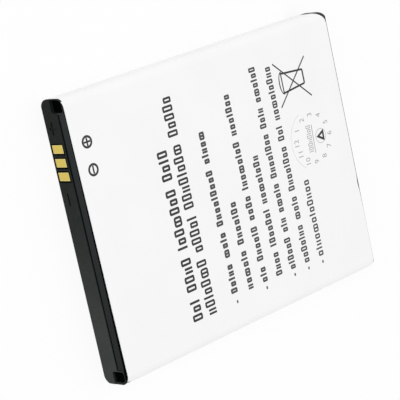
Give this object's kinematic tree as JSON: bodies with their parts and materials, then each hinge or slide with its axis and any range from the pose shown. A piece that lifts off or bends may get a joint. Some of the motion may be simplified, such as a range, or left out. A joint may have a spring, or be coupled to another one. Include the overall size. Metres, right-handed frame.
{
  "type": "mobile phone battery",
  "caption": "Flat rectangular phone battery pack in a wrapped label, with a stepped black end cap that shows gold contacts in windows.",
  "frame": {"origin": "middle of the back face, on the surface that the pack lies on", "axes": "+X along the length away from the contacts, +Y across towards the positive contact, +Z out of the printed front"},
  "size_m": [0.0644, 0.05, 0.006],
  "materials": {
    "label_film": "satin printed film",
    "cap_black": "fine moulded satin",
    "can_aluminium": "drawn, satin",
    "nickel": "rolled strip",
    "gold_plate": "gold plated",
    "board_green": "solder mask",
    "chip_black": "moulded epoxy",
    "chip_ceramic": "sintered",
    "fibre_sheet": "pressed fibre",
    "tape_white": "adhesive tape",
    "gasket_white": "moulded",
    "cutoff_black": "moulded"
  },
  "bodies": {
    "root": {"wrap_label": "label_film", "contact_cap": "cap_black", "tail_cap": "cap_black", "tail_tape": "tape_white", "cell_can": "can_aluminium", "cell_lid": "can_aluminium", "terminal_gasket": "gasket_white", "terminal_rivet": "nickel", "fill_plug": "can_aluminium", "lid_insulator": "fibre_sheet", "positive_strip": "nickel", "inner_negative_strip": "nickel", "outer_negative_strip": "nickel", "thermal_cutoff": "cutoff_black", "protection_board": "board_green", "protection_chip": "chip_black", "switch_chip": "chip_black", "positive_weld_block": "nickel", "negative_weld_block": "nickel", "positive_contact": "gold_plate", "sense_contact": "gold_plate", "negative_contact": "gold_plate", "supply_resistor": "chip_ceramic", "filter_capacitor": "chip_ceramic", "sense_resistor": "chip_ceramic", "identity_resistor": "chip_ceramic"}
  },
  "joints": []
}
